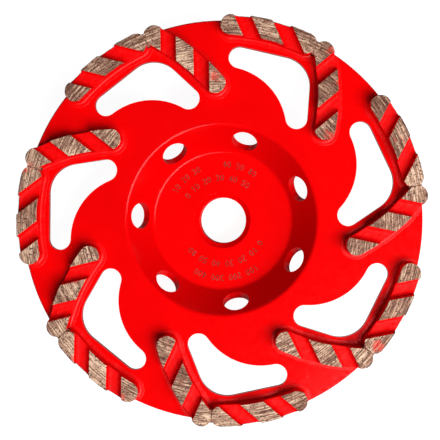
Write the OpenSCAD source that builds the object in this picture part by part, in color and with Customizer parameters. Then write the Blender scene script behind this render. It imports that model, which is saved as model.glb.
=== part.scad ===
// Diamond cup wheel: a pressed steel cup with a threaded hub, seven curved windows in its rim
// and seven pairs of arc-shaped diamond segments brazed onto the rim's front face.
// The wheel lies on the back of its hub, with the segments up. All sizes are in millimetres.

/* [Wheel] */
// Diameter over the segments
wheel_d = 115; // [100:1:130]
// How far the segments stand out past the steel rim
rim_overhang = 1; // [0.3:0.1:1.5]
// Number of segment pairs, windows and dust holes
pair_count = 7; // [6:1:7]

/* [Cup body] */
// Thickness of the rim plate and the cone
sheet_t = 2.2; // [1.6:0.1:3]
// Depth of the cup, from the rim's front face to the hub floor
cup_depth = 9; // [7:0.5:12]
// Diameter of the cup's mouth, where the cone would meet the rim face with a sharp edge
mouth_d = 54; // [50:0.5:57]
// Diameter of the hub floor, where it would meet the cone with a sharp edge
floor_d = 40; // [38:0.5:42]
// Bend radius on the inside of each bend of the sheet
bend_r = 1.2; // [0.6:0.1:2]
// Bevel on the edges of the rim
rim_bevel = 0.3; // [0.1:0.1:0.6]

/* [Hub] */
// Thickness of the hub plate
hub_t = 4.5; // [3.5:0.5:6]
// Diameter of the boss behind the hub plate
boss_d = 30; // [27:0.5:33]
// Height of the boss behind the hub plate
boss_h = 8; // [5:0.5:11]
// Bevel round the back edge of the boss
boss_bevel = 0.8; // [0.3:0.1:1.5]
// Diameter of the bore at the crests of its thread
bore_d = 13.5; // [12:0.1:15]
// Diameter of the countersink at both ends of the bore
countersink_d = 16.3; // [15.6:0.1:18]

/* [Dust holes] */
// Diameter of the dust holes in the cone
dust_hole_d = 7.4; // [5:0.1:8]
// Angle of the first dust hole, counter-clockwise from +X
dust_hole_angle = 22.8; // [0:0.1:51]

/* [Segments] */
// Width of a segment
seg_w = 5.9; // [5:0.1:6.5]
// Height of a segment above the rim
seg_h = 4.75; // [3.5:0.25:7]
// Arc of a segment between the centres of its round ends, in degrees
seg_span = 22.9; // [21:0.1:23.5]
// Angle of the joint end of the first rim segment, counter-clockwise from +X
joint_angle = 13; // [11:0.1:15]
// Angle between the two segments of a pair, where the pair turns inwards
pair_turn = 52; // [48:0.5:56]
// How much each round end is ground flat where a pair meets
joint_flat = 0.3; // [0.1:0.05:0.5]
// Braze gap between the two segments of a pair
joint_gap = 0.1; // [0.05:0.05:0.3]

/* [Chip grooves] */
// Width of a chip groove at the top
groove_w = 4.3; // [3:0.1:4.8]
// Width of a chip groove at its floor, before the corners are rounded
groove_floor_w = 3.5; // [2.4:0.1:4.2]
// Depth of a chip groove
groove_depth = 2.3; // [1:0.1:3]
// Radius in the floor corners of a groove
groove_r = 0.9; // [0.3:0.1:1.1]
// Distance along the arc from the head end to the first groove, in degrees
groove_start = 4.8; // [4.3:0.1:5.5]
// Distance along the arc from the first groove to the second, in degrees
groove_pitch = 12.25; // [11:0.05:13]
// Angle between the grooves and the middle of the segment
groove_slant = 51.3; // [45:0.1:58]

/* [Windows] */
// Ledge between a segment and the side of the window next to it
window_ledge = 1.9; // [1.2:0.1:2.5]
// Ledge between a segment and the round end of the window next to it
window_end_ledge = 2.2; // [1.5:0.1:2.8]
// Radius of the window's round ends
window_end_r = 3.1; // [2.4:0.1:3.5]
// Radius of the window's outer corner, under the joint of the pair
window_corner_r = 8.3; // [7:0.1:9.5]
// Radius of the petal of the body that bulges into the window
petal_r = 18.3; // [16.5:0.1:22]
// How far the window stops short of the head end of the rim segment, in degrees
window_head_stop = 3.4; // [2:0.1:5]
// How far the window stops short of the inner end of the sweep segment, in degrees
window_tail_stop = 2.7; // [1.5:0.1:4.5]

/* [Hidden] */
$fn = 96;
// Steps in a computed arc of a bend, and in the larger arcs of an outline
bend_steps = 6;
arc_steps = 14;
// Length by which a cutter passes through a face
cut = 1;

pair_step = 360 / pair_count;
rim_r = wheel_d / 2 - rim_overhang;
floor_r = floor_d / 2;
mouth_r = mouth_d / 2;
floor_z = boss_h + hub_t;
rim_z = floor_z + cup_depth;

// Slope of the cone, measured from the hub floor, and the point where a dust hole's axis meets it
cone_slope = atan2(cup_depth, mouth_r - floor_r);
cone_mid = [(mouth_r + floor_r) / 2, floor_z + cup_depth / 2];

// Radii of a segment's outer side, middle line and inner side, about the centre of its own arc
seg_outer_r = wheel_d / 2;
seg_mid_r = seg_outer_r - seg_w / 2;
seg_inner_r = seg_outer_r - seg_w;

// The sweep segment starts straight ahead of the rim segment and is turned by pair_turn
butt = seg_w - 2 * joint_flat + joint_gap;
tail_point = polar(seg_mid_r, joint_angle);
head_point = tail_point + polar(butt, joint_angle - 90);
sweep_angle = joint_angle - pair_turn;
sweep_centre = head_point - polar(seg_mid_r, sweep_angle);

function polar(r, a) = [r * cos(a), r * sin(a)];
function unit(v) = v / norm(v);
function heading(v) = atan2(v[1], v[0]);
// An angle brought within half a turn of zero
function wrapped(a) = a - 360 * round(a / 360);

// Points along an arc about c, from angle a0 to angle a1
function arc(c, r, a0, a1, steps) = [for (i = [0:steps]) c + polar(r, a0 + (a1 - a0) * i / steps)];
// The same from angle a0 the short way round to angle a1
function short_arc(c, r, a0, a1, steps) = arc(c, r, a0, a0 + wrapped(a1 - a0), steps);

// Corner b of an outline, rounded with radius r between its neighbours a and d
function rounded(a, b, d, r) =
    let (u = unit(a - b), v = unit(d - b), half = acos(u * v) / 2)
    let (c = b + unit(u + v) * r / sin(half))
    let (t0 = b + u * r / tan(half), t1 = b + v * r / tan(half))
    short_arc(c, r, heading(t0 - c), heading(t1 - c), bend_steps);

// Heading of the outside tangent point, seen from the centre, on two circles passed clockwise
function tangent_heading(c0, r0, c1, r1) = heading(c1 - c0) + acos((r0 - r1) / norm(c1 - c0));

// Where two circles cross, on the left of the line from c0 to c1
function crossing(c0, r0, c1, r1) =
    let (d = norm(c1 - c0), x = (r0 * r0 - r1 * r1 + d * d) / (2 * d))
    let (u = unit(c1 - c0))
    c0 + u * x + [-u[1], u[0]] * sqrt(r0 * r0 - x * x);

// Half section of the cup, as radius and height, without its bore
module body_section() {
    back_z = rim_z - sheet_t;
    // Where the back of the cone meets the back of the rim plate and the back of the hub plate
    back_mouth = [mouth_r + sheet_t * (1 - cos(cone_slope)) / sin(cone_slope), back_z];
    back_hub = [floor_r + (sheet_t - hub_t * cos(cone_slope)) / sin(cone_slope), boss_h];
    boss_r = boss_d / 2;
    polygon(concat(
        [[0, 0], [boss_r - boss_bevel, 0], [boss_r, boss_bevel]],
        rounded([boss_r, 0], [boss_r, boss_h], back_hub, bend_r),
        rounded([boss_r, boss_h], back_hub, back_mouth, bend_r + sheet_t),
        rounded(back_hub, back_mouth, [rim_r, back_z], bend_r),
        [[rim_r - rim_bevel, back_z], [rim_r, back_z + rim_bevel]],
        [[rim_r, rim_z - rim_bevel], [rim_r - rim_bevel, rim_z]],
        rounded([rim_r, rim_z], [mouth_r, rim_z], [floor_r, floor_z], bend_r),
        rounded([mouth_r, rim_z], [floor_r, floor_z], [0, floor_z], bend_r),
        [[0, floor_z]]
    ));
}

// Bore through the hub, with a countersink at each end
module bore_cut() {
    bore_r = bore_d / 2;
    sink_r = countersink_d / 2;
    sink = sink_r - bore_r;
    translate([0, 0, -cut]) cylinder(r = bore_r, h = floor_z + 2 * cut);
    translate([0, 0, -cut]) cylinder(r1 = sink_r + cut, r2 = bore_r, h = sink + cut);
    translate([0, 0, floor_z - sink]) cylinder(r1 = bore_r, r2 = sink_r + cut, h = sink + cut);
}

// Dust hole, square to the cone at the middle of its slope
module dust_hole_cut() {
    reach = 4 * sheet_t;
    translate([cone_mid[0], 0, cone_mid[1]])
        rotate([0, -cone_slope, 0])
            translate([0, 0, -reach]) cylinder(d = dust_hole_d, h = 2 * reach);
}

// One window: two sides run along the segments of a pair and meet in a wide corner, both ends are
// round, and the side towards the hub is a petal that touches both round ends
module window_outline() {
    end_path_r = seg_inner_r - window_end_ledge - window_end_r;
    corner_path_r = seg_inner_r - window_ledge - window_corner_r;
    head = polar(end_path_r, joint_angle + seg_span - window_head_stop);
    tail = sweep_centre + polar(end_path_r, sweep_angle - seg_span + window_tail_stop);
    corner = crossing(sweep_centre, corner_path_r, [0, 0], corner_path_r);
    petal = crossing(tail, petal_r + window_end_r, head, petal_r + window_end_r);
    side_a = tangent_heading(head, window_end_r, corner, window_corner_r);
    side_b = tangent_heading(corner, window_corner_r, tail, window_end_r);
    to_head = heading(head - petal);
    to_tail = heading(tail - petal);
    polygon(concat(
        arc(head, window_end_r, to_head + 180, side_a, arc_steps),
        short_arc(corner, window_corner_r, side_a, side_b, arc_steps),
        arc(tail, window_end_r, side_b, to_tail - 180, arc_steps),
        short_arc(petal, petal_r, to_tail, to_head, 2 * arc_steps)
    ));
}

module body() {
    color([0.86, 0.02, 0.03])
        difference() {
            rotate_extrude() body_section();
            bore_cut();
            for (i = [0:pair_count - 1]) rotate([0, 0, i * pair_step]) {
                rotate([0, 0, dust_hole_angle]) dust_hole_cut();
                translate([0, 0, rim_z - sheet_t - cut])
                    linear_extrude(sheet_t + 2 * cut) window_outline();
            }
        }
}

// Section of a chip groove, open at the top, with its top edge at height 0
module groove_section() {
    top = groove_w / 2;
    bottom = groove_floor_w / 2;
    polygon(concat(
        [[-top, cut], [-top, 0]],
        rounded([-top, 0], [-bottom, -groove_depth], [bottom, -groove_depth], groove_r),
        rounded([-bottom, -groove_depth], [bottom, -groove_depth], [top, 0], groove_r),
        [[top, 0], [top, cut]]
    ));
}

// Outline of a segment: two flanks about the centre of its own arc, closed by two round ends
module segment_outline() {
    end_r = seg_w / 2;
    polygon(concat(
        arc([0, 0], seg_outer_r, -seg_span, 0, 2 * arc_steps),
        arc(polar(seg_mid_r, 0), end_r, 0, 180, arc_steps),
        arc([0, 0], seg_inner_r, 0, -seg_span, 2 * arc_steps),
        arc(polar(seg_mid_r, -seg_span), end_r, 180 - seg_span, 360 - seg_span, arc_steps)
    ));
}

// One segment about the centre of its own arc: its head is at +X and its tail is seg_span clockwise
module segment_blank() {
    reach = 2 * seg_w;
    difference() {
        linear_extrude(seg_h) segment_outline();
        for (along = [groove_start, groove_start + groove_pitch])
            translate(concat(polar(seg_mid_r, -along), seg_h))
                rotate([0, 0, -seg_span / 2 - groove_slant])
                    rotate([90, 0, 0])
                        translate([0, 0, -reach]) linear_extrude(2 * reach) groove_section();
    }
}

// Block that grinds the joint flat: its face lies half the braze gap past the middle of the joint,
// and it takes away what is ahead of the rim segment, or behind the sweep segment
module joint_cut(ahead) {
    size = 2 * seg_w;
    x = ahead ? -joint_gap / 2 : joint_gap / 2 - size;
    translate((tail_point + head_point) / 2)
        rotate([0, 0, joint_angle - 90])
            translate([x, -size / 2, -cut]) cube([size, size, seg_h + 2 * cut]);
}

// Segment that lies along the rim, with its tail at the joint of its pair
module rim_segment(i) {
    color([0.64, 0.55, 0.46])
        rotate([0, 0, (i - 1) * pair_step]) translate([0, 0, rim_z])
            difference() {
                rotate([0, 0, joint_angle + seg_span]) segment_blank();
                joint_cut(true);
            }
}

// Segment that sweeps inwards, with its head at the joint of its pair
module sweep_segment(i) {
    color([0.60, 0.51, 0.43])
        rotate([0, 0, (i - 1) * pair_step]) translate([0, 0, rim_z])
            difference() {
                translate(sweep_centre) rotate([0, 0, sweep_angle]) segment_blank();
                joint_cut(false);
            }
}

body();
for (i = [1:pair_count]) {
    rim_segment(i);
    sweep_segment(i);
}
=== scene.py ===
import math

import bmesh
import bpy
import numpy as np
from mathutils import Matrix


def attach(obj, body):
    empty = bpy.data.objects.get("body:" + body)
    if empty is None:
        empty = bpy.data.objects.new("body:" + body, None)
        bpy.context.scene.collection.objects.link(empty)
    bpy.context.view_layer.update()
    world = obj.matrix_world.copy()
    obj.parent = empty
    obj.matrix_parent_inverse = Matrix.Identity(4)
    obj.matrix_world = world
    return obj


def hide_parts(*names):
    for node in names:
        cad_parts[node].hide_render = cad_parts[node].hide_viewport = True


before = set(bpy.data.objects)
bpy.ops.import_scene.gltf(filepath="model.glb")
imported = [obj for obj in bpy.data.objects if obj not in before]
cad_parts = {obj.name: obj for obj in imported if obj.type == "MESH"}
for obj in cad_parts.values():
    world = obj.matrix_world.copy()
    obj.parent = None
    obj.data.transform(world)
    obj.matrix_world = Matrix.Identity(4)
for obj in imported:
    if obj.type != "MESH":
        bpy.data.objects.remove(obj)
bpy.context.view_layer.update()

# Cup body
# One steel cup: threaded hub, cone and flat rim pressed and turned from one blank, then pierced with
# seven curved windows and seven dust holes. It is sprayed with a smooth, glossy red lacquer that
# rounds every edge. The thread is cut here, because the CAD bore is plain at the thread's crests.

MM = 0.001
BORE_R = 6.75 * MM
COUNTERSINK = 1.4 * MM
FLOOR_Z = 12.5 * MM
RIM_Z = 21.5 * MM
SHEET = 2.2 * MM
PLATE_FROM_R = 31.0 * MM
EDGE_ROUND = 0.22 * MM
THREAD_PITCH = 25.4 / 11 * MM
THREAD_DEPTH = 1.19 * MM
THREAD_RUN_OUT = 1.0 * MM
# Corners of the thread's profile, as shares of its pitch and of its depth
THREAD_CORNERS = [(0, 0), (0.25, 0), (0.5625, 1), (0.6875, 1), (1, 0)]
ROWS_PER_TURN = 20
# Edges nearer to the axis than this are the thread's own, and aren't rounded
THREAD_EDGE_R = BORE_R + COUNTERSINK - 0.1 * MM
NEAR = 0.03 * MM
FLAT_ANGLE = math.radians(0.5)
ROUNDED_ANGLE = math.radians(32)
CREASE_ANGLE = math.radians(40)
PAINT_RED = (0.86, 0.0004, 0.0012, 1.0)
PAINT_DEEP = (0.81, 0.0003, 0.0010, 1.0)
# Darker red painted on the slope of the cone: painted shade of the recess wall
SLOPE_SHADE = (0.70, 0.0003, 0.0010, 1.0)
THIN_COAT = (0.30, 0.030, 0.036, 1.0)
# Share of the sheet's cut edge, from its top, that the spray reached
SPRAYED_SHARE = 0.62
BACK_MARGIN = 0.02 * MM


def new_material(name):
    """An empty node material, its tree and its Principled shader."""
    mat = bpy.data.materials.new(name)
    mat.use_nodes = True
    return mat, mat.node_tree, mat.node_tree.nodes["Principled BSDF"]


def set_inputs(tree, node, inputs):
    """Gives each named or numbered socket of a node its value, or links another node's output."""
    for key, value in inputs.items():
        if isinstance(value, bpy.types.NodeSocket):
            tree.links.new(value, node.inputs[key])
        else:
            node.inputs[key].default_value = value


def add_node(tree, kind, inputs=None, **settings):
    """Adds a node with its settings and its inputs."""
    node = tree.nodes.new(kind)
    for key, value in settings.items():
        setattr(node, key, value)
    set_inputs(tree, node, inputs or {})
    return node


def math_node(tree, operation, *values, **settings):
    """The result of a Math node."""
    return add_node(tree, "ShaderNodeMath", dict(enumerate(values)),
                    operation=operation, **settings).outputs[0]


def noise(tree, vector, scale, detail, **inputs):
    """The strength of a noise pattern, from 0 to 1."""
    return add_node(tree, "ShaderNodeTexNoise",
                    {"Vector": vector, "Scale": scale, "Detail": detail, **inputs}).outputs["Fac"]


def mix_colours(tree, share, first, second):
    """The first colour with a share of the second in it. A Mix node's colours are sockets 6 and 7,
    and its result is output 2."""
    return add_node(tree, "ShaderNodeMix", {"Factor": share, 6: first, 7: second},
                    data_type="RGBA").outputs[2]


def add_ramp(tree, value, stops):
    """The colour of a ramp through the given (place, colour) stops."""
    node = add_node(tree, "ShaderNodeValToRGB", {"Fac": value})
    while len(node.color_ramp.elements) < len(stops):
        node.color_ramp.elements.new(0.5)
    for element, (place, colour) in zip(node.color_ramp.elements, stops):
        element.position = place
        element.color = colour
    return node.outputs["Color"]


def grey(value):
    """A ramp colour of one brightness."""
    return (value, value, value, 1.0)


def object_coords(tree):
    """The Object coordinates."""
    return add_node(tree, "ShaderNodeTexCoord").outputs["Object"]


def axis_nodes(tree, coords):
    """The three coordinates, and the distance from the wheel's axis."""
    x, y, z = add_node(tree, "ShaderNodeSeparateXYZ", {0: coords}).outputs
    squares = math_node(tree, "ADD", math_node(tree, "MULTIPLY", x, x),
                        math_node(tree, "MULTIPLY", y, y))
    return x, y, z, math_node(tree, "SQRT", squares)


def lacquer_nodes(tree, shader, coords, smooth, rough):
    """Red lacquer: a faint cloudiness of colour, a slow orange peel and a few dust nibs. Its roughness
    varies between the two values."""
    cloud = noise(tree, coords, scale=90.0, detail=3.0)
    colour = add_ramp(tree, cloud, [(0.35, PAINT_DEEP), (0.65, PAINT_RED)])
    peel = noise(tree, coords, scale=520.0, detail=2.0)
    gloss = add_ramp(tree, peel, [(0.3, grey(smooth)), (0.7, grey(rough))])
    nibs = add_node(tree, "ShaderNodeTexVoronoi", {"Vector": coords, "Scale": 240.0})
    nib_height = add_ramp(tree, nibs.outputs["Distance"], [(0.0, grey(1.0)), (0.07, grey(0.0))])
    orange = add_node(tree, "ShaderNodeBump",
                      {"Height": peel, "Strength": 0.08, "Distance": 0.12 * MM})
    bump = add_node(tree, "ShaderNodeBump", {"Height": nib_height, "Strength": 0.25,
                                             "Distance": 0.05 * MM,
                                             "Normal": orange.outputs["Normal"]})
    set_inputs(tree, shader, {"Normal": bump.outputs["Normal"]})
    return colour, gloss


def lacquer_material():
    """Lacquer over the whole cup. On the lower part of the cut edges of the windows and of the rim,
    and on the rim's back, the spray hardly reached the steel, so it is patchy and grey there. On the
    slope of the cone the red is painted darker, as painted shade of the recess wall."""
    mat, tree, shader = new_material("red_lacquer")
    coords = object_coords(tree)
    _, _, z, radius = axis_nodes(tree, coords)
    colour, gloss = lacquer_nodes(tree, shader, coords, smooth=0.11, rough=0.16)
    low = math_node(tree, "LESS_THAN", z, RIM_Z - SPRAYED_SHARE * SHEET)
    high = math_node(tree, "GREATER_THAN", z, RIM_Z - SHEET - BACK_MARGIN)
    out = math_node(tree, "GREATER_THAN", radius, PLATE_FROM_R)
    patch = math_node(tree, "GREATER_THAN", noise(tree, coords, scale=260.0, detail=3.0), 0.59)
    thin = math_node(tree, "MULTIPLY", math_node(tree, "MULTIPLY", low, high),
                     math_node(tree, "MULTIPLY", out, patch))
    # Painted shade: on the cone's slope, between floor and rim, the red is mixed towards a darker one
    climb = math_node(tree, "DIVIDE", math_node(tree, "SUBTRACT", z, FLOOR_Z), RIM_Z - FLOOR_Z)
    slope = add_ramp(tree, climb, [(0.0, grey(0.0)), (0.12, grey(1.0)),
                                   (0.90, grey(1.0)), (1.0, grey(0.0))])
    slope_shaded = mix_colours(tree, slope, colour, SLOPE_SHADE)
    set_inputs(tree, shader, {"Base Color": mix_colours(tree, thin, slope_shaded, THIN_COAT),
                              "Roughness": gloss, "Specular IOR Level": 0.13})
    return mat


def thread_radius(turn, height):
    """Radius of a right-handed internal thread at a turn about the axis and a height: a flat crest, a
    flank, a narrow root and a flank. It runs out into the plain edge of each countersink."""
    phase = (height / THREAD_PITCH - turn) % 1.0
    profile = np.interp(phase, *zip(*THREAD_CORNERS))
    from_end = np.minimum(height - COUNTERSINK, FLOOR_Z - COUNTERSINK - height)
    run_out = np.clip(from_end / THREAD_RUN_OUT, 0, 1)
    return BORE_R + THREAD_DEPTH * profile * run_out


def cut_thread(b):
    """Takes the plain wall out of the bore and bridges the two circles that are left with the thread.
    The columns of the thread stand on the vertices of the circles."""
    low_z, high_z = COUNTERSINK, FLOOR_Z - COUNTERSINK
    wall = [f for f in b.faces
            if all(abs(v.co.xy.length - BORE_R) < NEAR for v in f.verts)
            and low_z < f.calc_center_median().z < high_z]
    bmesh.ops.delete(b, geom=wall, context="FACES")
    ends = []
    for level in (low_z, high_z):
        circle = [v for v in b.verts if v.is_boundary and abs(v.co.z - level) < NEAR]
        ends.append(sorted(circle, key=lambda v: math.atan2(v.co.y, v.co.x)))
    low, high = ends
    rows = round((high_z - low_z) / THREAD_PITCH * ROWS_PER_TURN)
    angles = np.array([math.atan2(v.co.y, v.co.x) for v in low])
    lattice = [low]
    for row in range(1, rows):
        height = low_z + (high_z - low_z) * row / rows
        radii = thread_radius(angles / (2 * math.pi), height)
        lattice.append([b.verts.new((r * math.cos(a), r * math.sin(a), height))
                        for r, a in zip(radii, angles)])
    lattice.append(high)
    for below, above in zip(lattice, lattice[1:]):
        for k in range(len(low)):
            n = (k + 1) % len(low)
            b.faces.new((below[k], below[n], above[n], above[k]))


def lacquered_cup():
    """The CAD cup, copied, threaded and rounded along its sharp edges."""
    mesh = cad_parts["body"].data.copy()
    b = bmesh.new()
    b.from_mesh(mesh)
    bmesh.ops.remove_doubles(b, verts=b.verts, dist=0.0005 * MM)
    bmesh.ops.dissolve_limit(b, angle_limit=FLAT_ANGLE, verts=b.verts, edges=b.edges,
                             use_dissolve_boundaries=False, delimit=set())
    cut_thread(b)
    bmesh.ops.recalc_face_normals(b, faces=b.faces)
    sharp = [e for e in b.edges
             if len(e.link_faces) == 2 and e.calc_face_angle() > ROUNDED_ANGLE
             and max(v.co.xy.length for v in e.verts) >= THREAD_EDGE_R]
    bmesh.ops.bevel(b, geom=sharp, offset=EDGE_ROUND, offset_type="OFFSET", segments=3, profile=0.5,
                    affect="EDGES", clamp_overlap=True)
    bmesh.ops.recalc_face_normals(b, faces=b.faces)
    for e in b.edges:
        e.smooth = not (len(e.link_faces) == 2 and e.calc_face_angle() > CREASE_ANGLE)
    b.to_mesh(mesh)
    b.free()
    mesh.materials.clear()
    for polygon in mesh.polygons:
        polygon.use_smooth = True
    cup = bpy.data.objects.new("lacquered_cup", mesh)
    bpy.context.scene.collection.objects.link(cup)
    even = cup.modifiers.new("even_normals", "WEIGHTED_NORMAL")
    even.keep_sharp = True
    even.weight = 60
    return cup


cup = lacquered_cup()
cup.data.materials.append(lacquer_material())
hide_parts("body")
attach(cup, "root")

# Diamond segments
# Fourteen arc-shaped blocks of sintered metal filled with diamond grit, brazed on the rim in pairs.
# Each is crossed by two slanted chip grooves. After painting, the tops were dressed on a stone, which
# left bare grey-brown metal with fine rings of scratches, while grooves and sides stay red.

PAIRS = 7
SEGMENT_OUTER_R = 57.5 * MM
SEGMENT_W = 5.9 * MM
SEGMENT_H = 4.75 * MM
SEGMENT_SPAN = math.radians(22.9)
SEGMENT_MID_R = SEGMENT_OUTER_R - SEGMENT_W / 2
SEGMENT_INNER_R = SEGMENT_OUTER_R - SEGMENT_W
SEGMENT_ROUND = 0.30 * MM
OUTLINE_STEPS = 120
JOINT_ANGLE = math.radians(13.0)
PAIR_TURN = math.radians(52.0)
JOINT_FLAT = 0.3 * MM
JOINT_GAP = 0.1 * MM
GROOVE_W = 4.3 * MM
GROOVE_FLOOR_W = 3.5 * MM
GROOVE_DEPTH = 2.3 * MM
# Share of the depth that the floor rises to at its two edges
GROOVE_BOWL = 0.16
GROOVE_PLACES = (math.radians(4.8), math.radians(17.05))
GROOVE_SLANT = math.radians(51.3)
# Slices across a block: their even spacing, that beside a groove's edges, and the least one
SLICE_STEP = 0.24 * MM
SLICE_EDGE_STEP = 0.12 * MM
SLICE_LEAST = 0.02 * MM
# Sintered grain: height, size and seed of three layers of noise, and how deep it lies in the block
GRAIN = [(0.055 * MM, 1.1 * MM, 11), (0.035 * MM, 0.45 * MM, 61), (0.02 * MM, 0.2 * MM, 101)]
GRAIN_SINK = 0.05 * MM
# The grain fades in above the foot, and the dressed top has a fifth of it
GRAIN_FADE = 0.6 * MM
TOP_BAND = 0.12 * MM
TOP_FADE = 0.1 * MM
TOP_FLATTENED = 0.8
METAL_PIT = (0.075, 0.036, 0.026, 1.0)
METAL_FLANK = (0.19, 0.115, 0.092, 1.0)
METAL_DARK = (0.115, 0.045, 0.030, 1.0)
METAL_MID = (0.35, 0.180, 0.122, 1.0)
METAL_LIGHT = (0.86, 0.60, 0.42, 1.0)
# Bare metal reaches this far below the top's edge, and this far in from the outer flank
DRESSED_BAND = 0.15 * MM
DRESSED_FADE = 0.09 * MM
GROUND_BAND = 0.22 * MM
# The apex whose lacquer the stone skipped, and how far round it some is left
SKIPPED_PLACE = (43.3 * MM, -34.7 * MM, RIM_Z + SEGMENT_H)
SKIPPED_REACH = 3.2 * MM


def value_noise(points, size, seed):
    """Smooth random values in -1..1: random numbers on a cubic lattice of the given cell size,
    blended between the eight corners of each cell."""
    cells = 32
    table = np.random.default_rng(seed).uniform(-1, 1, (cells, cells, cells))
    q = points / size
    cell = np.floor(q).astype(int)
    f = q - cell
    f = f * f * (3 - 2 * f)
    total = 0.0
    for corner in np.ndindex(2, 2, 2):
        weight = np.prod(np.where(corner, f, 1 - f), axis=-1)
        i, j, k = np.moveaxis((cell + corner) % cells, -1, 0)
        total = total + weight * table[i, j, k]
    return total


def polar(r, a):
    """Points at radius r and angle a, as an array of x and y."""
    return np.stack([r * np.cos(a), r * np.sin(a)], -1)


def turned(points, angle):
    """Points turned about the origin by an angle."""
    c, s = math.cos(angle), math.sin(angle)
    return points @ np.array([[c, s], [-s, c]])


def turned_about_axis(points, index):
    """Points of the first pair carried to the pair with that index."""
    flat = turned(points[..., :2].reshape(-1, 2), index * 2 * math.pi / PAIRS)
    return np.dstack([flat.reshape(points.shape[:2] + (2,)), points[..., 2]])


tail_point = polar(SEGMENT_MID_R, JOINT_ANGLE)
ahead = polar(1.0, JOINT_ANGLE - math.pi / 2)
head_point = tail_point + ahead * (SEGMENT_W - 2 * JOINT_FLAT + JOINT_GAP)
joint_point = (tail_point + head_point) / 2
sweep_angle = JOINT_ANGLE - PAIR_TURN
sweep_centre = head_point - polar(SEGMENT_MID_R, sweep_angle)


def segment_outline():
    """A bent stadium, counter-clockwise: outer flank, head end, inner flank and tail end."""
    flank = np.linspace(-SEGMENT_SPAN, 0, OUTLINE_STEPS, endpoint=False)
    turn = np.linspace(0, math.pi, OUTLINE_STEPS // 2, endpoint=False)
    head = polar(SEGMENT_MID_R, 0.0) + polar(SEGMENT_W / 2, turn)
    tail = (polar(SEGMENT_MID_R, -SEGMENT_SPAN)
            + polar(SEGMENT_W / 2, turn + math.pi - SEGMENT_SPAN))
    return np.vstack([polar(SEGMENT_OUTER_R, flank), head,
                      polar(SEGMENT_INNER_R, flank[::-1] + flank[1] - flank[0]), tail])


def segment_plan(kind):
    """Outline and groove frame of one segment of the first pair. A point past the flat where the pair
    meets is moved back onto it, along the flat's own normal."""
    centres = polar(SEGMENT_MID_R, -np.array(GROOVE_PLACES))
    slant = -SEGMENT_SPAN / 2 - GROOVE_SLANT
    if kind == "rim":
        angle, centre, side = JOINT_ANGLE + SEGMENT_SPAN, np.zeros(2), 1.0
    else:
        angle, centre, side = sweep_angle, sweep_centre, -1.0
    outline = turned(segment_outline(), angle) + centre
    centres = turned(centres, angle) + centre
    past = (outline - joint_point) @ ahead * side + JOINT_GAP / 2
    outline = outline - np.where(past > 0, past, 0)[:, None] * ahead * side
    return outline, centres, slant + angle


def groove_height(distance):
    """Height of the segment at a distance from a groove's middle: a floor that rises a little towards
    its edges, a steep wall and the top."""
    d = np.abs(distance)
    wall = np.clip((d - GROOVE_FLOOR_W / 2) / ((GROOVE_W - GROOVE_FLOOR_W) / 2), 0, 1)
    bowl = np.clip(d / (GROOVE_FLOOR_W / 2), 0, 1) ** 4 * GROOVE_BOWL
    return SEGMENT_H - GROOVE_DEPTH * (1 - np.maximum(wall, bowl * (wall <= 0)))


def slice_places(low, high, middles):
    """Places of the slices across the grooves: close together at the round ends and at each groove
    wall, and even between."""
    ends = (1 - np.cos(np.linspace(0, math.pi / 2, 16))) * SEGMENT_W / 2
    fixed = [low + ends, high - ends]
    for m in middles:
        for edge in (GROOVE_FLOOR_W / 2, GROOVE_W / 2):
            for offset in (-SLICE_EDGE_STEP, 0.0, SLICE_EDGE_STEP):
                fixed.append(np.array([m - edge - offset, m + edge + offset]))
    even = np.arange(low + SEGMENT_W / 2, high - SEGMENT_W / 2, SLICE_STEP)
    places = np.unique(np.round(np.concatenate(fixed + [even]), 7))
    keep = np.concatenate([[True], np.diff(places) > SLICE_LEAST])
    return places[keep]


def roughened(points, kind, index):
    """Sintered grain under the lacquer: the surface is moved along its own normal by three sizes of
    noise, less at the foot, where it is brazed, and on the dressed top."""
    normals = np.cross(np.gradient(points, axis=0), np.gradient(points, axis=1))
    length = np.linalg.norm(normals, axis=-1, keepdims=True)
    normals = normals / np.maximum(length, 1e-12)
    centre = points.mean((0, 1))
    outward = np.sign(np.sum(normals * (points - centre), -1).sum())
    block = index * 2 + (kind == "rim")
    amount = sum(height * value_noise(points, size, seed + block) for height, size, seed in GRAIN)
    lift = np.clip((points[..., 2] - RIM_Z) / GRAIN_FADE, 0, 1)
    top = np.clip((points[..., 2] - RIM_Z - SEGMENT_H + TOP_BAND) / TOP_FADE, 0, 1)
    amount = (amount - GRAIN_SINK) * lift * (1 - TOP_FLATTENED * top)
    return points + normals * (amount * outward)[..., None]


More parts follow.
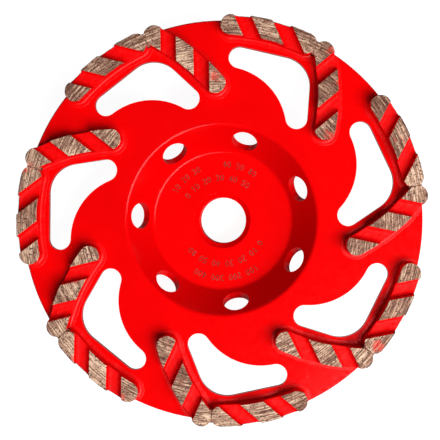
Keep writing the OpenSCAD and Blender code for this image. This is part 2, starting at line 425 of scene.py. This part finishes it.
def segment_surface(kind, index):
    """The block is cut into slices parallel to its grooves. Each slice runs from the foot up one side,
    across the top at the groove's height and down the other side, and all slices have as many points,
    so they make one closed grid."""
    outline, centres, slant = segment_plan(kind)
    normal = polar(1.0, slant)
    along = polar(1.0, slant + math.pi / 2)
    across = outline @ normal
    first, last = int(across.argmin()), int(across.argmax())
    order = np.roll(np.arange(len(outline)), -first)
    split = int(np.where(order == last)[0][0])
    chain_a = outline[order[:split + 1]]
    chain_b = outline[np.concatenate([order[split:], order[:1]])][::-1]
    places = slice_places(across.min(), across.max(), centres @ normal)
    ends = []
    for chain in (chain_a, chain_b):
        u = np.maximum.accumulate(chain @ normal)
        ends.append(np.interp(places, u, chain @ along))
    low, high = np.minimum(*ends), np.maximum(*ends)
    height = np.min([groove_height(places - m) for m in centres @ normal], axis=0)

    wall_steps, bend_steps, top_steps = 16, 5, 34
    rise = np.linspace(0, 1, wall_steps, endpoint=False)
    bend = np.linspace(0, math.pi / 2, bend_steps)
    width = (high - low)[:, None]
    r = np.minimum(SEGMENT_ROUND, width * 0.45)
    wall_z = rise[None] * (height[:, None] - r)
    bend_in = r * (1 - np.cos(bend))[None]
    bend_z = height[:, None] - r + r * np.sin(bend)[None]
    flat = np.linspace(0, 1, top_steps)[None, 1:-1]
    flat_in = r + flat * (width - 2 * r)
    flat_z = np.repeat(height[:, None], flat.shape[1], 1)
    inward = np.hstack([np.zeros_like(wall_z), bend_in, flat_in, width - bend_in[:, ::-1],
                        np.repeat(width, wall_steps, 1)])
    z = np.hstack([wall_z, bend_z, flat_z, bend_z[:, ::-1], wall_z[:, ::-1]])
    side = low[:, None] + inward
    xy = places[:, None, None] * normal + side[..., None] * along
    points = roughened(np.dstack([xy, z + RIM_Z]), kind, index)
    return turned_about_axis(points, index)


def grid_mesh(name, points, ring=False):
    """A grid of points as an object of quads. Each row is a closed loop; a ring closes the columns
    too."""
    rows, cols = points.shape[:2]
    index = np.arange(rows * cols).reshape(rows, cols)
    if ring:
        index = np.vstack([index, index[:1]])
    right = np.roll(index, -1, 1)
    faces = np.stack([index[:-1], right[:-1], right[1:], index[1:]], -1).reshape(-1, 4)
    mesh = bpy.data.meshes.new(name)
    mesh.from_pydata(points.reshape(-1, 3).tolist(), [], faces.tolist())
    mesh.validate()
    piece = bpy.data.objects.new(name, mesh)
    bpy.context.scene.collection.objects.link(piece)
    return piece


def tidy_mesh(piece, merge):
    """Merges points that fall together, fills the ends, turns all faces outwards and shades smooth."""
    b = bmesh.new()
    b.from_mesh(piece.data)
    bmesh.ops.remove_doubles(b, verts=b.verts, dist=merge)
    bmesh.ops.dissolve_degenerate(b, edges=b.edges, dist=merge / 2)
    open_edges = [e for e in b.edges if e.is_boundary]
    if open_edges:
        bmesh.ops.holes_fill(b, edges=open_edges, sides=0)
    bmesh.ops.recalc_face_normals(b, faces=b.faces)
    if b.calc_volume(signed=True) < 0:
        bmesh.ops.reverse_faces(b, faces=b.faces)
    b.to_mesh(piece.data)
    b.free()
    piece.data.shade_smooth()


def weighted_sum(tree, *terms):
    """The sum of patterns, each given with its weight."""
    total = 0.0
    for pattern, weight in terms:
        total = math_node(tree, "MULTIPLY_ADD", pattern, weight, total)
    return total


def sintered_material():
    """Bare metal on the dressed tops and on the ground outer flanks, and red lacquer elsewhere. Rings
    of fine scratches run round the wheel's axis: the noise is stretched along the angle and squeezed
    along the radius. Some lacquer is left on the tops, most of it at one apex that the stone
    skipped."""
    mat, tree, shader = new_material("diamond_matrix")
    coords = object_coords(tree)
    x, y, z, radius = axis_nodes(tree, coords)
    paint, gloss = lacquer_nodes(tree, shader, coords, smooth=0.42, rough=0.55)
    orange = shader.inputs["Normal"].links[0].from_socket
    east = math_node(tree, "DIVIDE", x, radius)
    north = math_node(tree, "DIVIDE", y, radius)

    def rings(across, along):
        """Noise on lines round the axis: so many per metre of radius, so many round a radian."""
        stretched = [math_node(tree, "MULTIPLY", radius, across),
                     math_node(tree, "MULTIPLY", east, along),
                     math_node(tree, "MULTIPLY", north, along)]
        vector = add_node(tree, "ShaderNodeCombineXYZ", dict(enumerate(stretched))).outputs[0]
        return noise(tree, vector, scale=1.0, detail=3.0, Roughness=0.6)

    def centred(pattern):
        """A pattern from 0 to 1, moved to lie about 0."""
        return math_node(tree, "SUBTRACT", pattern, 0.5)

    broad = rings(across=3000.0, along=6.0)
    fine = rings(across=6200.0, along=20.0)
    patch = noise(tree, coords, scale=520.0, detail=3.0)
    tone = noise(tree, coords, scale=42.0, detail=1.0)
    scratches = weighted_sum(tree, (broad, 0.48), (fine, 0.38), (patch, 0.14), (centred(tone), 0.20))
    metal = add_ramp(tree, scratches, [(0.42, METAL_DARK), (0.51, METAL_MID), (0.605, METAL_LIGHT)])
    grit = noise(tree, coords, scale=1900.0, detail=1.0)
    pits = add_ramp(tree, grit, [(0.34, grey(0.0)), (0.41, grey(1.0))])
    pitted = mix_colours(tree, pits, METAL_PIT, metal)

    edge = noise(tree, coords, scale=1500.0, detail=3.0)
    above = math_node(tree, "SUBTRACT", z, RIM_Z + SEGMENT_H - DRESSED_BAND)
    level = math_node(tree, "DIVIDE", above, DRESSED_FADE)
    dressed = weighted_sum(tree, (level, 1.0), (centred(edge), 1.6))
    apart = add_node(tree, "ShaderNodeVectorMath", {0: coords, 1: SKIPPED_PLACE},
                     operation="DISTANCE").outputs["Value"]
    skipped = math_node(tree, "SUBTRACT", 1.0, math_node(tree, "DIVIDE", apart, SKIPPED_REACH),
                        use_clamp=True)
    spot = noise(tree, coords, scale=110.0, detail=1.0)
    smear = weighted_sum(tree, (spot, 0.75), (broad, 0.25), (skipped, 0.30))
    kept = math_node(tree, "GREATER_THAN", smear, 0.658)
    bare = math_node(tree, "SUBTRACT", dressed, kept, use_clamp=True)
    topped = mix_colours(tree, bare, paint, pitted)

    chipped = weighted_sum(tree, (radius, 1.0), (centred(edge), 0.5 * MM))
    ground = math_node(tree, "GREATER_THAN", chipped, SEGMENT_OUTER_R - GROUND_BAND)
    flank = add_ramp(tree, patch, [(0.36, METAL_DARK), (0.62, METAL_FLANK)])
    rough = add_node(tree, "ShaderNodeMix", {"Factor": bare, 2: gloss, 3: 0.55}).outputs[0]
    relief = add_node(tree, "ShaderNodeBump",
                      {"Height": math_node(tree, "MULTIPLY", scratches, bare), "Strength": 0.6,
                       "Distance": 0.22 * MM, "Normal": orange})
    set_inputs(tree, shader, {"Base Color": mix_colours(tree, ground, topped, flank),
                              "Roughness": rough, "Normal": relief.outputs["Normal"],
                              "Specular IOR Level": 0.08})
    return mat


sintered = sintered_material()
for pair in range(PAIRS):
    for kind in ("rim", "sweep"):
        block = grid_mesh(f"{kind}_block_{pair + 1}", segment_surface(kind, pair))
        tidy_mesh(block, merge=0.004 * MM)
        block.data.materials.append(sintered)
        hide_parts(f"{kind}_segment_{pair + 1}")
        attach(block, "root")

# Joint seams
# Where the two segments of a pair meet, dark braze metal fills the gap between their flats and lies
# bare in the notches at both ends of it.

SEAM_REACH = 1.8 * MM
SEAM_HALF_W = 0.30 * MM
SEAM_FLARE = 0.42 * MM
SEAM_BELOW_TOP = 0.06 * MM
SEAM_END_DROP = 0.30 * MM
SEAM_SIDE_DROP = 0.22 * MM
SEAM_BUMPS = 0.07 * MM
SEAM_BUMP_SIZE = 0.35 * MM
SEAM_SEED = 700
SEAM_FOOT = -0.05 * MM
SEAM_ACROSS = [-1, -1, -0.96, -0.8, -0.55, -0.3, -0.1, 0.1, 0.3, 0.55, 0.8, 0.96, 1, 1]


def seam_surface(index):
    """A bead along the joint. Towards both ends (v) it widens and drops with the square of the
    distance, and across it (u) it is flat and falls off at the sides. Its first and last columns
    stand on the rim."""
    v = np.linspace(-1, 1, 49)[:, None]
    u = np.array(SEAM_ACROSS)[None]
    half = SEAM_HALF_W + SEAM_FLARE * v ** 2
    top = SEGMENT_H - SEAM_BELOW_TOP - SEAM_END_DROP * v ** 2 - SEAM_SIDE_DROP * np.abs(u) ** 6
    level = np.where(np.arange(u.size)[None] % (u.size - 1) == 0, SEAM_FOOT, top)
    along = (v * SEAM_REACH)[..., None] * polar(1.0, JOINT_ANGLE)
    points = np.dstack([joint_point + along + (u * half)[..., None] * ahead, level + RIM_Z])
    bumps = SEAM_BUMPS * value_noise(points, SEAM_BUMP_SIZE, SEAM_SEED + index)
    points[:, 1:-1, 2] += bumps[:, 1:-1]
    return turned_about_axis(points, index)


def seam_material():
    """Dull bare metal, mottled between the colours of the pits and of the worn tops."""
    mat, tree, shader = new_material("seam_metal")
    spots = noise(tree, object_coords(tree), scale=1300.0, detail=3.0)
    set_inputs(tree, shader,
               {"Base Color": add_ramp(tree, spots, [(0.38, METAL_PIT), (0.60, METAL_MID)]),
                "Roughness": 0.7, "Specular IOR Level": 0.15})
    return mat


seam_metal = seam_material()
for pair in range(PAIRS):
    seam = grid_mesh(f"joint_seam_{pair + 1}", seam_surface(pair))
    tidy_mesh(seam, merge=0.001 * MM)
    seam.data.materials.append(seam_metal)
    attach(seam, "root")

# Braze fillets
# The braze that holds each segment ran out of the joint and froze as a low, uneven collar round its
# foot, with a soft rounded lip, all under the lacquer. It stops short of the rim's edge.

RIM_R = 56.5 * MM
COLLAR_LIMIT = RIM_R - 0.35 * MM
COLLAR_REACH = 1.30 * MM
COLLAR_HEIGHT = 0.36 * MM
COLLAR_LIP = 0.035 * MM
COLLAR_INSIDE = 0.35 * MM
COLLAR_SEED = 300
# Sizes of the two kinds of unevenness, and how far each moves the collar's edge
COLLAR_WAVE_SIZE, COLLAR_WAVE = 2.6 * MM, 0.16 * MM
COLLAR_RIPPLE_SIZE, COLLAR_RIPPLE = 0.8 * MM, 0.08 * MM
# Depths in the rim of the collar's outer edge and of its closed underside
COLLAR_EDGE_DEPTH = 0.05 * MM
COLLAR_UNDER_DEPTH = 0.25 * MM


def collar_surface(kind, index):
    """A ring whose section runs out from inside the segment: a slope that falls to the rim by a power
    of the distance, and a lip that ends in a rounded edge. Noise along the foot varies its reach and
    the lip's height."""
    outline = segment_plan(kind)[0]
    step = np.roll(outline, -1, 0) - np.roll(outline, 1, 0)
    outward = np.stack([step[:, 1], -step[:, 0]], -1)
    outward /= np.maximum(np.linalg.norm(outward, axis=1, keepdims=True), 1e-9)
    places = np.column_stack([outline, np.full(len(outline), index * 10 * MM)])
    seed = COLLAR_SEED + 2 * index + (kind == "rim")
    wave = value_noise(places, COLLAR_WAVE_SIZE, seed)
    ripple = value_noise(places, COLLAR_RIPPLE_SIZE, seed + 40)
    reach = COLLAR_REACH + COLLAR_WAVE * wave + COLLAR_RIPPLE * ripple
    lip = COLLAR_LIP * np.clip(0.9 + 1.1 * wave + 0.4 * ripple, 0.15, 2)
    t = np.linspace(0, 1, 22)[None]
    slope = COLLAR_HEIGHT * np.clip(1 - t / 0.6, 0, 1) ** 2.2
    edge = np.clip(1 - (np.clip(t - 0.78, 0, 1) / 0.22) ** 2, 0, 1) ** 0.6
    height = slope + lip[:, None] * edge
    height[:, -1] = -COLLAR_EDGE_DEPTH
    along = -COLLAR_INSIDE + t * (reach[:, None] + COLLAR_INSIDE)
    top = outline[:, None] + outward[:, None] * along[..., None]
    under = top[:, [-1, 0]]
    xy = np.concatenate([top, under], 1)
    xy = xy * np.minimum(1, COLLAR_LIMIT / np.linalg.norm(xy, axis=-1, keepdims=True))
    z = RIM_Z + np.hstack([height, np.full((len(outline), 2), -COLLAR_UNDER_DEPTH)])
    return turned_about_axis(np.dstack([xy, z]), index)


def collar_material():
    """The same lacquer, duller over the rough braze."""
    mat, tree, shader = new_material("collar_lacquer")
    colour, gloss = lacquer_nodes(tree, shader, object_coords(tree), smooth=0.28, rough=0.40)
    set_inputs(tree, shader, {"Base Color": colour, "Roughness": gloss, "Specular IOR Level": 0.14})
    return mat


collar_lacquer = collar_material()
for pair in range(PAIRS):
    for kind in ("rim", "sweep"):
        collar = grid_mesh(f"{kind}_collar_{pair + 1}", collar_surface(kind, pair), ring=True)
        tidy_mesh(collar, merge=0.0002 * MM)
        collar.data.materials.append(collar_lacquer)
        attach(collar, "root")

# Etched numbers
# Arcs of small plain numbers on the floor of the recess, burnt in dot by dot, which reads as dull
# brown marks in the lacquer. They are round numbers that name nothing.

DOT_R = 0.12 * MM
DOT_STEP = 0.22 * MM
DOT_SIDES = 8
# Heights above the floor of a dot's crown, of its rim and of its foot
DOT_CROWN, DOT_RIM, DOT_FOOT = 0.016 * MM, 0.006 * MM, -0.03 * MM
BURNT_DARK = (0.08, 0.012, 0.008, 1.0)
BURNT_LIGHT = (0.22, 0.062, 0.044, 1.0)
# A digit is drawn 2 units wide and 4 high
DIGIT_UNIT = 1.6 * MM / 4
DIGIT_ADVANCE = 1.30 * MM
STROKES = {
    "0": [[(0, 1), (0, 3), (1, 4), (2, 3), (2, 1), (1, 0), (0, 1)]],
    "1": [[(0.3, 3.2), (1, 4), (1, 0)]],
    "2": [[(0, 3.4), (1, 4), (2, 3.2), (0, 0), (2, 0)]],
    "3": [[(0, 3.6), (1, 4), (2, 3), (1, 2.1), (2, 1), (1, 0), (0, 0.4)]],
    "4": [[(1.5, 0), (1.5, 4), (0, 1.2), (2.1, 1.2)]],
    "5": [[(2, 4), (0.2, 4), (0, 2.3), (1.2, 2.5), (2, 1.3), (1, 0), (0, 0.4)]],
    "8": [[(1, 2.1), (0, 3), (1, 4), (2, 3), (1, 2.1), (0, 1), (1, 0), (2, 1), (1, 2.1)]],
}
# Text, radius and starting angle in degrees of each arc
ARCS = [("10 20 30", 16.3 * MM, 148.0), ("40 50 80", 16.3 * MM, 88.0),
        ("0 10 20 30 40 50", 12.4 * MM, 145.0), ("0 10 20 30 40 50 80", 12.7 * MM, -31.0),
        ("100 200 300 400", 16.8 * MM, -55.0)]


def stroke_points(stroke):
    """Dots at even steps along a stroke, in units of the digit's drawing."""
    corners = np.array(stroke, float)
    lengths = np.linalg.norm(np.diff(corners, axis=0), axis=1)
    reached = np.concatenate([[0], np.cumsum(lengths)])
    count = max(1, round(reached[-1] * DIGIT_UNIT / DOT_STEP)) + 1
    places = np.linspace(0, reached[-1], count)
    return np.stack([np.interp(places, reached, corners[:, k]) for k in (0, 1)], -1)


def arc_dots(text, radius, start):
    """Dots of a row of digits that runs clockwise round the bore, with the digits' tops outwards."""
    dots = []
    for place, digit in enumerate(text):
        turn = math.radians(start) - place * DIGIT_ADVANCE / radius
        up, right = polar(1.0, turn), polar(1.0, turn - math.pi / 2)
        for stroke in STROKES.get(digit, []):
            drawn = (stroke_points(stroke) - (1, 2)) * DIGIT_UNIT
            dots.append(up * (radius + drawn[:, 1:]) + right * drawn[:, :1])
    return np.vstack(dots)


def dot_field(centres):
    """One mesh of low round dots, each closed: a crown, a rim and a foot that is sunk in the floor."""
    sides = DOT_SIDES
    circle = polar(DOT_R, np.arange(sides) * 2 * math.pi / sides)
    shape = np.vstack([np.column_stack([circle * share, np.full(sides, height)])
                       for share, height in ((0.6, DOT_CROWN), (1.0, DOT_RIM), (1.0, DOT_FOOT))])
    points = shape[None] + np.column_stack([centres, np.full(len(centres), FLOOR_Z)])[:, None]
    dot_faces = [list(range(sides)), list(range(3 * sides - 1, 2 * sides - 1, -1))]
    for level in (0, sides):
        for k in range(sides):
            n = (k + 1) % sides
            dot_faces.append([level + n, level + k, level + sides + k, level + sides + n])
    faces = [[dot * 3 * sides + corner for corner in face]
             for dot in range(len(centres)) for face in dot_faces]
    mesh = bpy.data.meshes.new("etched_numbers")
    mesh.from_pydata(points.reshape(-1, 3).tolist(), [], faces)
    field = bpy.data.objects.new("etched_numbers", mesh)
    bpy.context.scene.collection.objects.link(field)
    return field


def etching_material():
    """Lacquer burnt to a dull brown of uneven depth."""
    mat, tree, shader = new_material("etched_lacquer")
    burn = noise(tree, object_coords(tree), scale=900.0, detail=2.0)
    burnt = add_ramp(tree, burn, [(0.35, BURNT_DARK), (0.65, BURNT_LIGHT)])
    set_inputs(tree, shader, {"Base Color": burnt, "Roughness": 0.75, "Specular IOR Level": 0.2})
    return mat


numbers = dot_field(np.vstack([arc_dots(*arc) for arc in ARCS]))
numbers.data.materials.append(etching_material())
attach(numbers, "root")

# Floor, light and camera
# A white table under the wheel, a wide soft key light from the lower right of the picture, and a weak
# one close by on the right. The camera looks down almost along the wheel's axis.

FLOOR_HALF = 6.0
# The table's own grey, and how bright it looks to the camera and in a reflection
PAPER_GREY = 0.25
PAPER_SEEN = 0.94
PAPER_MIRRORED = 0.18
ROOM_LIGHT = 0.065
RIM_DISTANCE = 0.300
FOCAL_PIXELS = 3.54 / MM * RIM_DISTANCE
PICTURE_PIXELS = 440
CAMERA_TILT = math.radians(2.0)
CAMERA_ROLL = math.radians(0.2)
AIM = (-0.45 * MM, 0.10 * MM, RIM_Z)
LAMP_AIM = (0.0, 0.0, 0.02)


def paper_material():
    """Matt paper that looks white to the camera, faint in reflections, and still takes a shadow."""
    mat, tree, shader = new_material("paper")
    set_inputs(tree, shader, {"Base Color": grey(PAPER_GREY), "Roughness": 0.9})
    ray = add_node(tree, "ShaderNodeLightPath").outputs
    seen = math_node(tree, "MULTIPLY", ray["Is Camera Ray"], PAPER_SEEN)
    mirrored = math_node(tree, "MULTIPLY", ray["Is Glossy Ray"], PAPER_MIRRORED)
    glow = add_node(tree, "ShaderNodeEmission",
                    {"Strength": math_node(tree, "MAXIMUM", seen, mirrored)})
    both = add_node(tree, "ShaderNodeAddShader", {0: shader.outputs[0], 1: glow.outputs[0]})
    set_inputs(tree, tree.nodes["Material Output"], {"Surface": both.outputs[0]})
    return mat


bpy.ops.mesh.primitive_plane_add(size=2 * FLOOR_HALF, location=(0, 0, 0))
floor = bpy.context.object
floor.name = "floor"
floor.data.materials.append(paper_material())

scene = bpy.context.scene
scene.view_settings.view_transform = "Standard"
world = bpy.data.worlds.new("studio")
scene.world = world
world.use_nodes = True
set_inputs(world.node_tree, world.node_tree.nodes["Background"],
           {"Color": grey(1.0), "Strength": ROOM_LIGHT})


def soft_light(name, place, size, power):
    """A square area light that faces the wheel."""
    lamp = bpy.data.lights.new(name, "AREA")
    lamp.energy = power
    lamp.size = size
    holder = bpy.data.objects.new(name, lamp)
    scene.collection.objects.link(holder)
    holder.location = place
    away = holder.location - type(holder.location)(LAMP_AIM)
    holder.rotation_euler = away.to_track_quat("Z", "Y").to_euler()


soft_light("key", place=(0.255, -0.283, 0.607), size=0.46, power=6.3)
soft_light("side", place=(0.200, -0.060, 0.160), size=0.09, power=0.17)

eye = bpy.data.cameras.new("camera")
eye.sensor_width = 36.0
eye.lens = FOCAL_PIXELS / PICTURE_PIXELS * eye.sensor_width
camera = bpy.data.objects.new("camera", eye)
scene.collection.objects.link(camera)
scene.camera = camera
camera.location = (AIM[0] + RIM_DISTANCE * math.sin(CAMERA_TILT), AIM[1],
                   AIM[2] + RIM_DISTANCE * math.cos(CAMERA_TILT))
camera.rotation_euler = (0.0, CAMERA_TILT, CAMERA_ROLL)
